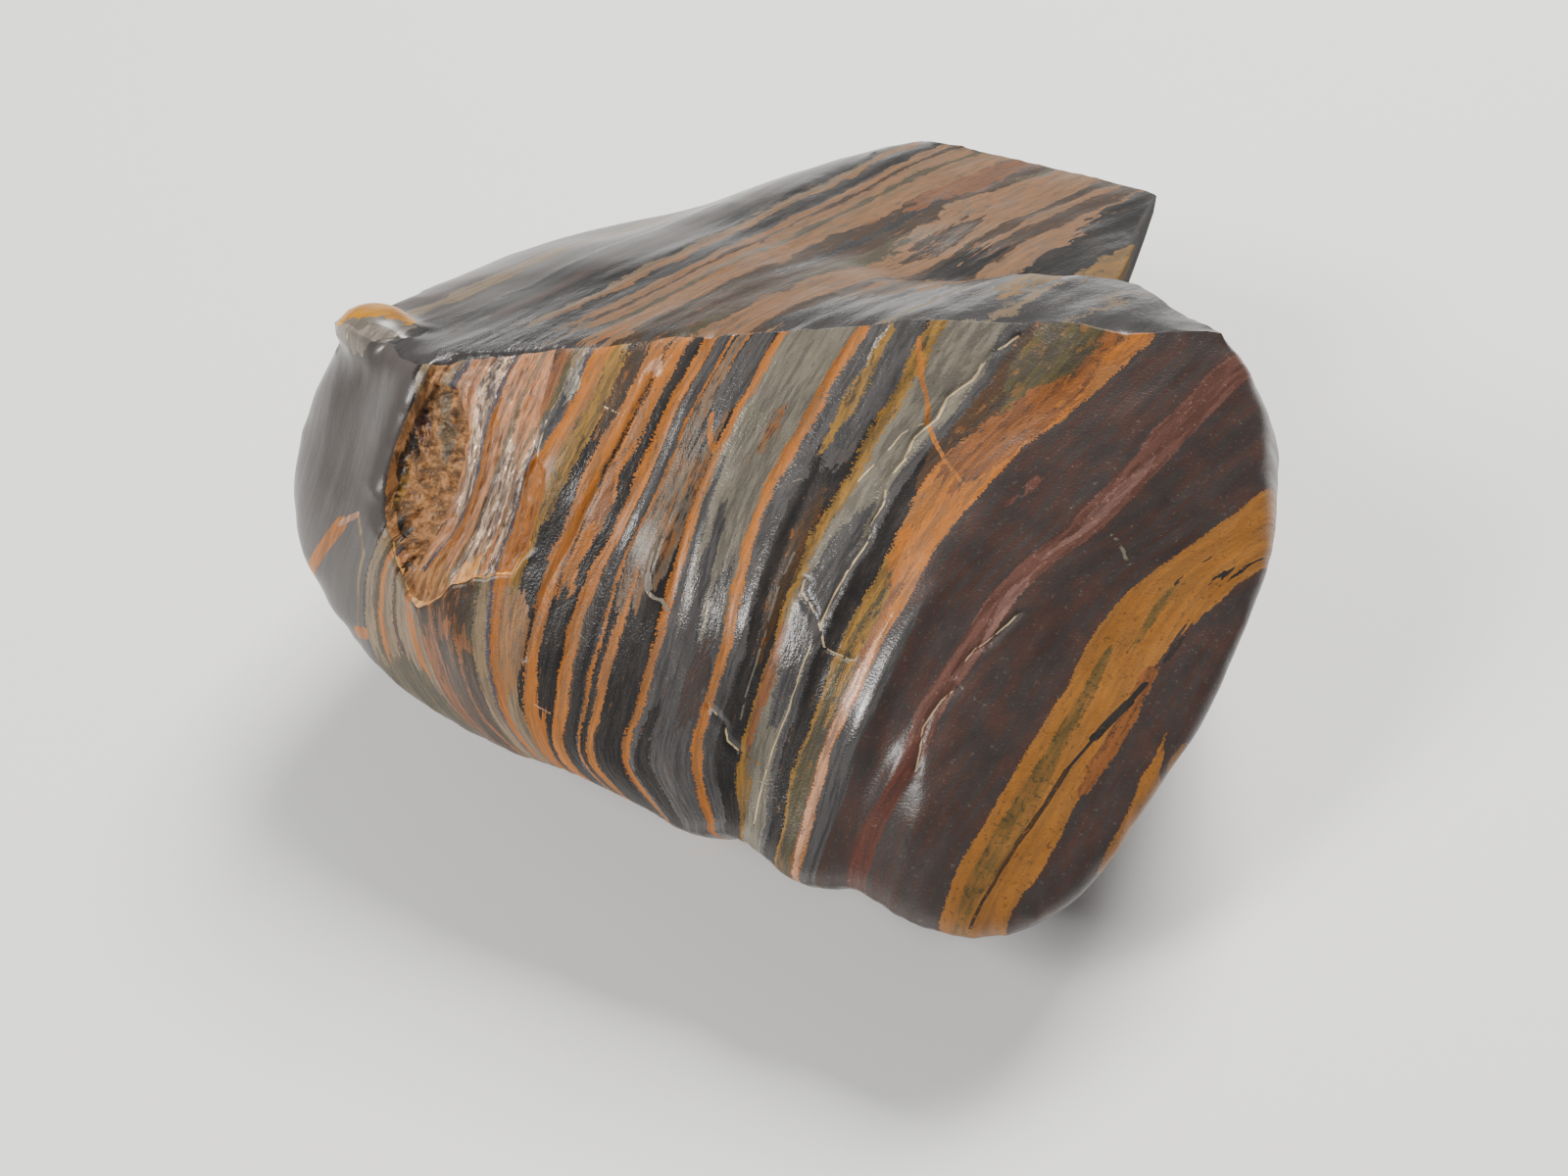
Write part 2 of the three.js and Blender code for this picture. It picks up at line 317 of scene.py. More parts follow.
def measureStone(points, normals, settings):
    # where each point lies, for the relief and for the material
    layer, rise, strike = layerSpace(points)
    scar, pit = scarMasks(points, rise, settings)
    facing = normals @ np.array(layering["up"])
    rear = smoothStep(points[:, 1], *settings["rearDepth"])
    behind = smoothStep(facing, *settings["topFacing"]) * smoothStep(rise, *settings["topRise"])
    behind = np.maximum(behind, smoothStep(rise, *settings["rearRise"]) * rear)
    far = smoothStep(normals[:, 0], *settings["farFacing"])
    return {
        "layer": layer, "rise": rise, "strike": strike, "scar": scar, "pit": pit,
        "behind": behind,
        "nub": np.linalg.norm(points - np.array(settings["nub"]), axis=1),
        "farSide": far * smoothStep(rise, *settings["farRise"]) * rear,
    }


def reliefHeight(points, at, settings):
    # mm that each point is raised
    layer, rise, scar = at["layer"], at["rise"], at["scar"]
    inLayers = (layer, rise, at["strike"])
    inSpace = (points[:, 0], points[:, 1], points[:, 2])
    inScar = smoothStep(scar, *settings["scarEdge"]) * (1 - at["behind"])
    inScar *= 1 - smoothStep(rise, *settings["scarTop"])
    inPit = smoothStep(at["pit"], *settings["pitEdge"])
    onLobe = smoothStep(-layer, *settings["lobeEdge"])
    worn = (1 - settings["wornInScar"] * inScar) * (1 - settings["wornOnLobe"] * onLobe)

    height = np.zeros(len(points))
    for middle, half, tall, low, high in settings["ribs"]:
        height += bell(layer, tall, middle, half) * inBand(rise, low, high, settings["ribFade"])
    height += layerNoise(inLayers, *settings["lamina"]) * worn
    height += layerNoise(inLayers, *settings["fineLamina"]) * worn
    height += layerNoise(inSpace, *settings["swell"])
    height -= settings["scarDepth"] * inScar * smoothStep(-points[:, 0], *settings["scarDeepens"])
    height -= settings["scarStep"] * inScar
    height += inScar * layerNoise(inLayers, *settings["scarGrain"])
    height += inScar * layerNoise(inLayers, *settings["scarFine"])
    height += bell(scar, *settings["lip"]) * inBand(rise, *settings["lipRise"])
    height -= settings["pitDepth"] * inPit
    crumbs = np.abs(layerNoise(inSpace, *settings["crumbs"]))
    crumbs += np.abs(layerNoise(inSpace, *settings["fineCrumbs"]))
    height += settings["crumbHeight"] * inPit * (crumbs - settings["crumbLevel"])
    height += settings["nubHeight"] * (1 - smoothStep(at["nub"], *settings["nubReach"]))
    crack = crackDistance(layer, rise, settings["cracks"])
    height += bell(crack, *settings["crackEdge"]) - bell(crack, *settings["crackCut"])
    return height * smoothStep(points[:, 2], *settings["baseEdge"])


def buildStone(settings):
    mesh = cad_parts["tiger_iron"].data.copy()
    mesh.name = "tiger_iron_worn"
    bm = bmesh.new()
    bm.from_mesh(mesh)
    bmesh.ops.remove_doubles(bm, verts=bm.verts, dist=settings["weldWithin"])
    wearDown(bm, settings)
    finer = addFinerFaces(bm, settings)

    points = pointsOf(bm)
    normals = np.array([v.normal for v in bm.verts])
    at = measureStone(points, normals, settings)
    height = reliefHeight(points, at, settings)
    moved = (points + normals * height[:, None]) / 1000
    for vert, co in zip(bm.verts, moved):
        vert.co = co
    bm.normal_update()
    for edge in bentEdges(bm, *settings["sharpEdges"]):
        edge.smooth = False
    bm.to_mesh(mesh)
    bm.free()

    for name, values in at.items():
        attribute = mesh.attributes.new(name, "FLOAT", "POINT")
        attribute.data.foreach_set("value", values.astype(np.float32))
    mesh.polygons.foreach_set("use_smooth", [True] * len(mesh.polygons))
    mesh.materials.clear()
    piece = bpy.data.objects.new("tiger_iron_stone", mesh)
    bpy.context.scene.collection.objects.link(piece)
    print("stone:", len(mesh.polygons), "faces,", finer, "edges made finer")
    return piece


def addNode(tree, kind, **values):
    node = tree.nodes.new(kind)
    for name, value in values.items():
        setattr(node, name, value)
    return node


def plug(tree, source, target):
    # a socket, or a plain value
    if isinstance(source, bpy.types.NodeSocket):
        tree.links.new(source, target)
    else:
        target.default_value = source


def calc(tree, operation, *inputs):
    node = addNode(tree, "ShaderNodeMath", operation=operation)
    for value, socket in zip(inputs, node.inputs):
        plug(tree, value, socket)
    return node.outputs[0]


def times(tree, first, second):
    return calc(tree, "MULTIPLY", first, second)


def scaleAdd(tree, value, factor, added):
    return calc(tree, "MULTIPLY_ADD", value, factor, added)


def changeIn(tree, mask, change, value):
    # value, times 1 + change where the mask is full
    return times(tree, value, scaleAdd(tree, mask, change, 1.0))


def centred(tree, value):
    return calc(tree, "SUBTRACT", value, 0.5)


def vecCalc(tree, operation, *inputs):
    node = addNode(tree, "ShaderNodeVectorMath", operation=operation)
    for value, socket in zip(inputs, node.inputs):
        plug(tree, value, socket)
    givesValue = operation in {"DOT_PRODUCT", "LENGTH", "DISTANCE"}
    return node.outputs["Value" if givesValue else "Vector"]


def joinXyz(tree, *values):
    node = addNode(tree, "ShaderNodeCombineXYZ")
    for value, socket in zip(values, node.inputs):
        plug(tree, value, socket)
    return node.outputs[0]


def ease(tree, value, low, high):
    node = addNode(tree, "ShaderNodeMapRange", interpolation_type="SMOOTHSTEP")
    for source, name in ((value, "Value"), (low, "From Min"), (high, "From Max")):
        plug(tree, source, node.inputs[name])
    return node.outputs["Result"]


def blend(tree, factor, first, second, kind, result):
    node = addNode(tree, "ShaderNodeMix", data_type=kind)
    for source, name in ((factor, "Factor"), (first, "A"), (second, "B")):
        plug(tree, source, node.inputs[name])
    return node.outputs[result]


def blendColor(tree, factor, first, second):
    return blend(tree, factor, first, second, "RGBA", 2)


def blendValue(tree, factor, first, second):
    return blend(tree, factor, first, second, "FLOAT", "Result")


def grain(tree, vector, scale, detail, roughness):
    node = addNode(tree, "ShaderNodeTexNoise")
    plug(tree, vector, node.inputs["Vector"])
    node.inputs["Scale"].default_value = scale
    node.inputs["Detail"].default_value = detail
    node.inputs["Roughness"].default_value = roughness
    return node.outputs["Fac"]


def layerGrain(tree, space, across, along, detail, roughness):
    # noise that is fine across the layers and drawn out along them
    stretched = vecCalc(tree, "MULTIPLY", space, (across, along, along))
    return grain(tree, stretched, 1.0, detail, roughness)


def readAttribute(tree, name):
    return addNode(tree, "ShaderNodeAttribute", attribute_name=name).outputs["Fac"]


def newGroup(name, inputs, outputs):
    group = bpy.data.node_groups.new(name, "ShaderNodeTree")
    for label, kind, value in inputs:
        socket = group.interface.new_socket(label, in_out="INPUT", socket_type=kind)
        if value is not None:
            socket.default_value = value
    for label, kind in outputs:
        group.interface.new_socket(label, in_out="OUTPUT", socket_type=kind)
    return group, group.nodes.new("NodeGroupInput"), group.nodes.new("NodeGroupOutput")


def useGroup(tree, group, **inputs):
    node = addNode(tree, "ShaderNodeGroup", node_tree=group)
    for name, value in inputs.items():
        plug(tree, value, node.inputs[name])
    return node.outputs[0]


def patchGroup():
    # 1 inside an oval in layer and rise
    group, into, out = newGroup(
        "layerPatch",
        [("Place", "NodeSocketVector", None), ("Middle", "NodeSocketVector", None),
         ("Share", "NodeSocketVector", None)],
        [("Mask", "NodeSocketFloat")],
    )
    offset = vecCalc(group, "SUBTRACT", into.outputs["Place"], into.outputs["Middle"])
    reach = vecCalc(group, "LENGTH", vecCalc(group, "MULTIPLY", offset, into.outputs["Share"]))
    group.links.new(calc(group, "LESS_THAN", reach, 1.0), out.inputs[0])
    return group


def veinGroup():
    # 1 close to a straight piece of vein
    group, into, out = newGroup(
        "thinVein",
        [("Place", "NodeSocketVector", None), ("Start", "NodeSocketVector", None),
         ("Run", "NodeSocketVector", None), ("Share", "NodeSocketVector", None),
         ("Half Width", "NodeSocketFloat", 0.1)],
        [("Mask", "NodeSocketFloat")],
    )
    offset = vecCalc(group, "SUBTRACT", into.outputs["Place"], into.outputs["Start"])
    along = vecCalc(group, "DOT_PRODUCT", offset, into.outputs["Share"])
    along = calc(group, "MINIMUM", calc(group, "MAXIMUM", along, 0.0), 1.0)
    foot = addNode(group, "ShaderNodeVectorMath", operation="SCALE")
    group.links.new(into.outputs["Run"], foot.inputs[0])
    group.links.new(along, foot.inputs["Scale"])
    away = vecCalc(group, "DISTANCE", offset, foot.outputs[0])
    group.links.new(calc(group, "LESS_THAN", away, into.outputs["Half Width"]), out.inputs[0])
    return group


# mineral: main colour, second colour, colour of its flecks, roughness, metallic, share of flecks
minerals = {
    "lobe": ((0.082, 0.072, 0.067), (0.071, 0.062, 0.057), (0.089, 0.077, 0.072), 0.3, 0.1, 0.1),
    "ochre": ((0.37, 0.118, 0.014), (0.206, 0.079, 0.019), (0.081, 0.046, 0.021), 0.42, 0.0, 0.4),
    "gold": ((0.248, 0.125, 0.021), (0.123, 0.069, 0.016), (0.036, 0.029, 0.017), 0.42, 0.0, 0.55),
    "rust": ((0.206, 0.074, 0.021), (0.115, 0.045, 0.017), (0.049, 0.028, 0.018), 0.42, 0.0, 0.5),
    "iron": ((0.022, 0.02, 0.019), (0.028, 0.023, 0.02), (0.133, 0.061, 0.023), 0.3, 0.03, 0.28),
    "steel": ((0.103, 0.096, 0.094), (0.059, 0.056, 0.054), (0.128, 0.07, 0.042), 0.22, 0.3, 0.32),
    "medley": (
        (0.127, 0.104, 0.079), (0.172, 0.082, 0.034), (0.034, 0.026, 0.021), 0.32, 0.05, 0.65,
    ),
    "silk": ((0.203, 0.18, 0.137), (0.117, 0.102, 0.082), (0.1, 0.07, 0.047), 0.25, 0.25, 0.3),
    # painted highlight: a pale silver colour that stands for light caught where the crest bends
    # toward the lamp
    "paintedHighlight": ((0.56, 0.514, 0.407), (0.188, 0.167, 0.146), (0.109, 0.07, 0.047), 0.24, 0.35, 0.3),
    "brown": ((0.045, 0.035, 0.032), (0.052, 0.028, 0.022), (0.083, 0.074, 0.064), 0.34, 0.0, 0.36),
    "red": ((0.124, 0.056, 0.042), (0.075, 0.034, 0.025), (0.194, 0.111, 0.089), 0.32, 0.0, 0.4),
    "blush": ((0.569, 0.283, 0.152), (0.243, 0.128, 0.08), (0.113, 0.094, 0.086), 0.28, 0.1, 0.5),
    "tan": ((0.218, 0.147, 0.079), (0.122, 0.087, 0.053), (0.062, 0.056, 0.05), 0.38, 0.0, 0.5),
    "umber": ((0.06, 0.03, 0.013), (0.03, 0.021, 0.014), (0.179, 0.068, 0.018), 0.38, 0.0, 0.45),
    "olive": ((0.076, 0.062, 0.027), (0.043, 0.034, 0.021), (0.154, 0.075, 0.021), 0.38, 0.0, 0.5),
    "cream": ((0.576, 0.433, 0.229), (0.335, 0.249, 0.145), (0.16, 0.11, 0.068), 0.4, 0.0, 0.2),
    "plum": ((0.095, 0.083, 0.094), (0.06, 0.051, 0.059), (0.232, 0.114, 0.063), 0.32, 0.1, 0.2),
    "crumb": ((0.428, 0.2, 0.07), (0.172, 0.086, 0.034), (0.074, 0.037, 0.019), 0.7, 0.0, 0.5),
    "shell": ((0.221, 0.19, 0.152), (0.137, 0.117, 0.098), (0.612, 0.475, 0.28), 0.3, 0.0, 0.4),
    "yolk": ((0.655, 0.282, 0.004), (0.376, 0.148, 0.016), (0.191, 0.099, 0.031), 0.35, 0.0, 0.3),
    "rose": ((0.519, 0.222, 0.095), (0.216, 0.114, 0.066), (0.104, 0.076, 0.065), 0.34, 0.05, 0.45),
    # silvery ridges painted bright as glints of light: partly the silvery mineral, partly a painted
    # highlight
    "paintedGlint": ((0.721, 0.495, 0.322), (0.221, 0.155, 0.119), (0.069, 0.061, 0.065), 0.2, 0.4, 0.7),
    "clay": ((0.279, 0.127, 0.043), (0.143, 0.078, 0.037), (0.066, 0.054, 0.042), 0.46, 0.0, 0.5),
    "honey": ((0.275, 0.109, 0.02), (0.206, 0.087, 0.019), (0.097, 0.052, 0.017), 0.42, 0.0, 0.45),
    "moss": ((0.113, 0.069, 0.021), (0.185, 0.083, 0.019), (0.051, 0.042, 0.018), 0.42, 0.0, 0.55),
    "vein": ((0.186, 0.098, 0.078), (0.114, 0.059, 0.047), (0.374, 0.198, 0.133), 0.3, 0.0, 0.4),
    # painted highlight: the bright orange-white line where the lip of the broken patch catches the
    # light
    "paintedLipHighlight": ((0.808, 0.392, 0.116), (0.431, 0.208, 0.078), (0.9, 0.682, 0.254), 0.3, 0.0, 0.4),
    "garnet": ((0.107, 0.039, 0.027), (0.068, 0.029, 0.023), (0.234, 0.111, 0.081), 0.28, 0.0, 0.3),
}
mineralNames = list(minerals)

stoneLook = {
    # noise drawn out along the layers: fineness per mm across and along, detail, roughness
    "broad": (0.3, 0.16, 1, 0.5),
    "ragged": (2.0, 0.5, 3, 0.6),
    "blotch": (0.7, 0.3, 3, 0.65),
    "ends": (2.2, 0.35, 2, 0.6),
    "streaks": (3.2, 0.22, 4, 0.65),
    "fine": (4, 0.9, 4, 0.6),
    # noise that is the same all ways: fineness per mm, detail, roughness
    "crystals": (6.5, 1, 0.5),
    "pitStreaks": (1.5, 4, 0.65),
    "hollows": (0.9, 3, 0.6),
    "pebbles": (6.0, 2, 0.5),
    "specks": (1.0, 4, 0.7),
    "speckAcross": 3.4,
    "speckAlong": (0.55, 2.4),     # in most layers, and where there is no grain direction
    # how far edges stray from their places, in mm
    "wander": 0.35,
    "edgeRagged": 0.55,
    "feather": 0.5,                # single grains that cross an edge
    "patchRagged": 6.0,            # ends of patches, along the layers
    "veinRagged": (0.16, 0.2),     # across and along
    "topDrift": 2.2,
    "brownEdge": (19.2, 20.2),     # the brown end has no grain direction
    "brownCalm": 0.45,
    "lobeEdge": (-13.5, -15.0),    # the smooth left end
    # where areas end: how ragged in mm, and the level they end at
    "scarEdge": (0.3, 0.0),
    "pitEdge": (0.8, 0.1),
    "nubEdge": (1.2, 2.7),
    "nubTop": (1.4, 13.9),
    "behindFrom": 0.5,
    # the painted highlight along the lip: how ragged, how wide, and where it stops
    "litLipRagged": 0.25,
    "litLipWidth": (0.5, 0.07),       # how far it varies, and its mean
    "litLipTop": (6, -1.5),
    "veinGaps": -0.03,             # thinner veins have gaps where the noise is lower
    "gapsBelow": 0.065,
    # colour
    "streaksLost": 0.55,           # share of the streaks that the top has lost
    "toneBlotch": 0.5,
    "toneTurn": (0.42, 0.60),
    "fleckLevel": 0.70,
    "fleckShare": 0.3,
    "fleckEdge": 0.10,
    "fleckCover": 0.85,
    "dust": (0.30, 0.27, 0.23, 1),
    "dustBlotch": 0.35,
    "dustTurn": (0.76, 0.86),
    "dustCover": 0.4,
    "pores": (0.022, 0.017, 0.014, 1),
    "poreTurn": (0.30, 0.20),
    "poreCover": 0.45,
    "shadeBlotch": (-0.8, 1.1),    # change on the left end, and what it is elsewhere
    # painted shade: the top and back darker
    "paintedShadeBehind": -0.38,
    # painted shade in the pit's hollows
    "hollowTurn": (0.52, 0.40),
    "paintedHollowShade": -0.5,
    # gloss
    "streakDull": 0.35,
    "farDull": 0.6,
    "ior": 1.5,
    "specular": 0.4,
    "coat": 0.09,
    "coatRoughness": 0.2,
    # bump: its strength, its height in m, and how much it changes in each part
    "bump": 0.35,
    "bumpHeight": 0.0002,
    "scarTurn": (-0.1, 0.1),
    "scarDeeper": 3.5,
    "behindQuiet": 0.6,
    "quietCalm": -0.85,
    "brownFine": -0.8,
    "pitFine": -0.75,
    "crystalBump": 0.38,
    "lobePebbles": -0.8,
    "pitPebbles": 7.0,
    "behindPebbles": -0.6,
    # the layers that each colour ramp covers
    "faceRamps": ((-45, -15), (-15, -5), (-5, 5), (5, 15), (15, 25), (25, 36)),
    "scarRamps": ((-16, -4),),
    "topRamps": ((-26, 22),),
    # every layer of the face from left to right: where it starts, mineral
    "faceLayers": [
        (-45, "umber"), (-42.5, "ochre"), (-42, "iron"), (-40, "rust"), (-39.2, "umber"),
        (-37, "iron"), (-36.2, "ochre"), (-35.6, "umber"), (-34, "tan"), (-33.3, "iron"),
        (-31, "rust"), (-30.2, "umber"), (-29, "ochre"), (-28.4, "iron"), (-26.8, "brown"),
        (-25.6, "ochre"), (-25.1, "iron"), (-23.4, "rust"), (-22.4, "umber"), (-21.4, "iron"),
        (-19.8, "tan"), (-19.3, "iron"), (-17.4, "umber"), (-16.2, "ochre"), (-15.6, "iron"),
        (-14.2, "tan"), (-13.3, "olive"), (-12.9, "ochre"), (-12.4, "tan"), (-11.6, "umber"),
        (-11.25, "tan"), (-10.3, "ochre"), (-9.8, "tan"), (-9.3, "rust"), (-8.0, "umber"),
        (-6.3, "rust"), (-5.35, "olive"), (-4.95, "tan"), (-4.15, "plum"), (-3.9, "ochre"),
        (-3.0, "gold"), (-2.5, "iron"), (-1.35, "ochre"), (-0.5, "umber"), (-0.35, "ochre"),
        (0.45, "iron"), (1.05, "ochre"), (1.95, "umber"), (2.1, "steel"), (3.1, "ochre"),
        (3.35, "iron"), (3.85, "ochre"), (4.5, "iron"), (6.65, "ochre"), (7.3, "silk"),
        (10.9, "ochre"), (11.6, "steel"), (12.4, "iron"), (13.9, "gold"), (14.35, "silk"),
        (15.9, "steel"), (16.4, "iron"), (17.5, "gold"), (18.1, "rust"), (19.0, "ochre"),
        (19.65, "brown"), (23.35, "red"), (24.6, "brown"), (28.95, "honey"), (32.35, "brown"),
        (34.6, "honey"), (35.6, "brown"),
    ],
    # patches where the layers change along their length: mineral, left, right, bottom, top
    "facePatches": [
        ("lobe", -60, -14.3, -60, 60), ("rust", -7.8, -6.4, -8.2, -6.2),
        ("umber", -9.4, -8.3, -7.2, -4.5), ("umber", -6.2, -5.2, -7.4, -3),
        ("umber", -8.6, -4.9, -60, -13.5), ("umber", -6.1, -4.8, -14.5, -8.6),
        ("olive", -16.5, -8.7, -26, -8.6), ("clay", -3.35, -1.5, -11.5, -4.2),
        ("tan", -3.35, -1.3, -30, -10.8), ("gold", -2.6, -2.0, 0.5, 12),
        ("umber", -2.1, -1.2, 5.5, 14), ("ochre", -1.6, -0.3, -30, -4.6),
        ("rust", -0.25, 0.4, -4.8, 4.6), ("ochre", -0.4, 1.0, -4.9, 0.2),
        ("iron", 0.35, 1.1, -4.4, 0.2), ("iron", -0.5, 0.9, -12.6, -4.6),
        ("medley", 3.35, 4.6, -5.8, 14), ("medley", 4.4, 5.6, -6.2, 6.5),
        ("steel", 4.5, 6.7, 5.5, 14), ("steel", -5.1, -4.0, 4.0, 9.2),
        # the silver patches on this line and the next, and the blush patch on this line, are
        # painted highlights where the crest catches the light
        ("paintedHighlight", -4.75, -3.85, 8.6, 11.0), ("blush", -1.0, -0.1, 9.6, 11.0),
        ("paintedHighlight", 12.3, 13.5, 10.3, 13.4), ("garnet", 23.2, 24.8, -26, -14.5),
        ("medley", 9.2, 10.0, 4.8, 7.6), ("rust", 9.5, 9.8, 6.0, 6.9),
        ("medley", 5.5, 6.65, -4.6, 7.5), ("iron", 2.1, 3.0, -30, -1),
        ("steel", 7.2, 8.2, -34, 5.0), ("steel", 8.1, 9.7, -32, 1.0),
        ("steel", 9.6, 11, -30, -2.0), ("brown", 9.3, 10.85, -13.5, -7.5),
        ("iron", 7.4, 8.6, -30, -12), ("steel", 12.35, 13.95, 3.5, 16),
        ("gold", 12.3, 12.9, 5.7, 12.5), ("umber", 13.0, 13.9, -9, 2.5),
        ("rust", 14.0, 14.6, -14.5, -5.5), ("steel", 14.6, 16.0, -13.5, 1.6),
        ("gold", 13.6, 14.6, -20, -15.8), ("umber", 16.3, 18.0, 2, 16),
        ("ochre", 17.2, 19.6, -3.8, 9.8), ("rust", 17.3, 19.6, 2.2, 9.4),
        ("olive", 17.7, 18.9, -30, -4), ("gold", 18.2, 18.7, -14, -4),
        ("olive", 16.6, 18.6, 8.2, 15), ("steel", 19.65, 21.1, -30, -5.2),
        ("blush", 19.0, 19.6, -30, -5.6), ("vein", 23.7, 24.3, -1.5, 4.6),
        ("vein", 24.0, 24.6, -7.5, -3.0), ("honey", 28.95, 33.7, -8.8, 6),
        ("honey", 28.95, 32.5, -10.8, -6), ("rust", 31.9, 32.85, -18, -9.6),
        ("moss", 29.7, 30.4, -15, -8), ("moss", 29.6, 30.8, -28, -12.5),
        ("moss", 30.6, 31.2, -8, -3.5), ("iron", 30.5, 30.8, -3.7, -2.7),
        ("iron", 32.1, 32.5, -4.3, -2.8), ("iron", 32.75, 33.05, -3.8, -2.4),
        ("iron", 32.6, 33.0, -9.4, -7.9), ("red", 20.7, 21.1, 1.5, 3.4),
        ("brown", 34.1, 36.2, -16, 10),
    ],
    # thin veins and cracks: mineral, half width, then (layer, rise) from end to end
    "faceVeins": [
        ("ochre", 0.07, (13.9, 12.4), (14.6, 9.5), (15.55, 6.7), (16.3, 5.4), (17.2, 4.2),
         (18.6, 2.7), (19.4, 2.0)),
        ("cream", 0.045, (16.3, 12.6), (15.9, 11), (15.95, 9.6), (15.6, 8.4), (15.75, 7),
         (15.5, 5.6), (15.75, 4.2), (15.6, 3), (15.95, 1.2), (16.0, -0.2), (16.25, -1.2),
         (16.1, -3.2), (16.0, -6.8)),
        ("cream", 0.05, (16.0, -8), (16.0, -12), (15.6, -16.3), (15.1, -20)),
        ("cream", 0.04, (15.45, 6.6), (15.0, 5.9), (14.9, 4.5), (14.5, 2.8)),
        ("cream", 0.05, (14.4, -3.8), (14.5, -4.6), (15.3, -5.7), (16.1, -7), (16.7, -8.2),
         (18.5, -9.0)),
        ("cream", 0.05, (11.3, -12), (12.6, -13.3), (13.0, -14.5), (13.75, -15.2)),
        ("gold", 0.06, (13.9, -15.4), (15.6, -16.3)),
        ("shell", 0.13, (5.15, -2.0), (5.3, -3.2)),
        ("shell", 0.27, (5.35, -3.5), (5.6, -4.3)),
        ("shell", 0.1, (5.6, -4.5), (6.1, -5.0), (6.5, -5.1), (7.0, -5.8)),
        ("ochre", 0.2, (5.05, 7.2), (5.5, 6.2), (6.2, 5.3), (6.9, 4.8)),
        ("cream", 0.045, (25.1, -6), (24.95, -6.7), (24.7, -7.4), (24.45, -7.9), (24.2, -8.3),
         (24.15, -8.9), (24.0, -10)),
        ("cream", 0.045, (24.6, -10.8), (24.3, -11.6), (24.2, -12.6), (24.05, -13.4),
         (24.25, -14.4), (24.65, -16.2)),
        ("silk", 0.05, (24.4, 0), (25.9, -1.2), (28, -3.1)),
        ("iron", 0.16, (32.4, -10.7), (32.1, -11.8)),
        ("iron", 0.24, (32.1, -11.9), (31.75, -13.2), (31.5, -14.2)),
        ("iron", 0.09, (31.5, -14.2), (31.1, -16.3)),
        ("umber", 0.13, (31.1, -16.3), (31.05, -18.5), (30.85, -21)),
        ("umber", 0.09, (30.85, -21), (30.8, -23.5), (30.65, -26.5)),
        ("ochre", 0.7, (-20.6, -3.4), (-18.6, 0)),
        ("blush", 0.25, (-18.6, 0.2), (-17.2, 0.7)),
        ("tan", 0.12, (-16.9, 0.5), (-15.1, -2), (-14.9, -5), (-15.2, -7.2)),
        ("ochre", 0.45, (-15.4, -7.4), (-14.7, -7.5)),
        ("cream", 0.05, (-4.8, 6.9), (-4.0, 4.6), (-3.2, 3.1), (-3.2, 1.7), (-3.05, -0.7),
         (-3.3, -3.1)),
        ("cream", 0.04, (-2, 7.8), (-0.9, 7.2)),
        ("blush", 0.05, (-0.8, -12.1), (0.8, -12.8)),
        ("silk", 0.05, (11.6, 2.4), (12.3, 2.9)),
        ("silk", 0.06, (13.4, -2), (13.4, -13)),
    ],
    # layers and patches inside the broken patch, with its silvery ridges painted bright as glints
    # of light
    "scarLayers": [
        (-16, "crumb"), (-12.9, "tan"), (-12.45, "plum"), (-12.1, "rose"), (-10.85, "paintedGlint"),
        # the plum layer at -9.95 is a dark groove, a painted shade
        (-9.95, "plum"), (-9.6, "ochre"), (-8.8, "rose"), (-7.9, "tan"), (-7.5, "paintedGlint"),
        (-6.5, "rose"), (-5.9, "tan"), (-5.5, "rose"), (-5.2, "paintedGlint"), (-4.55, "plum"),
        (-4.3, "ochre"),
    ],
    "scarPatches": [
        ("paintedGlint", -7.8, -5.3, -2.5, 4.4), ("rose", -9.5, -7.9, 6.3, 14),
        ("tan", -7.9, -7.6, 5, 12), ("rose", -7.6, -5.4, 5, 14), ("umber", -4.9, -4.1, 6.5, 12),
        # the umber patch at -11.4 on this line is a dark groove, a painted shade
        ("rose", -11.2, -9.9, -3.2, 1), ("umber", -11.4, -10.9, -4.8, -0.5),
        # the patch of lit lip on this line is a painted highlight
        ("crumb", -10.9, -7.6, -6.5, -2.4), ("paintedLipHighlight", -7.4, -5.6, -4.4, -2.6),
    ],
    # dark hollows painted in as shade, a painted glint, and a red corner in the pit
    "pitPatches": [
        ("red", -15.0, -13.5, 5.7, 9.1), ("umber", -15.1, -14.4, 4.2, 5.9),
        ("umber", -15.5, -14.9, 2.6, 4.4), ("gold", -15.6, -14.3, -1.2, 3),
        ("iron", -14.0, -13.3, -0.9, 0.3), ("iron", -13.4, -12.6, -1.9, -0.7),
        ("paintedGlint", -13.6, -13.2, 9.1, 9.9), ("tan", -13.0, -12.2, 4.0, 9.4),
    ],
    # layers and patches on the top and the back
    "topLayers": [
        (-26, "brown"), (-22.3, "tan"), (-20.8, "lobe"), (-18.6, "steel"), (-18.2, "iron"),
        (-16.4, "brown"), (-15.0, "iron"), (-12.6, "tan"), (-12.0, "clay"), (-11.4, "iron"),
        (-9.9, "clay"), (-8.9, "umber"), (-8.2, "clay"), (-6.8, "olive"), (-6.0, "clay"),
        (-3.4, "umber"), (-2.3, "steel"), (-1.6, "umber"), (-0.6, "olive"), (0.4, "clay"),
        (4.0, "umber"), (5.6, "clay"), (6.6, "umber"), (8.3, "clay"), (10.6, "iron"),
        (13.2, "gold"), (14.6, "steel"),
    ],
    "topPatches": [
        ("clay", -0.8, 4.6, 19.5, 30), ("umber", 0.6, 3.2, 19.8, 23.5),
        ("rust", -3.4, -1.2, 24, 31), ("iron", 8.6, 13.3, 22.3, 31),
        ("iron", 4.6, 8.2, 17.5, 20.8), ("umber", -3, 0.6, 13.5, 18.5),
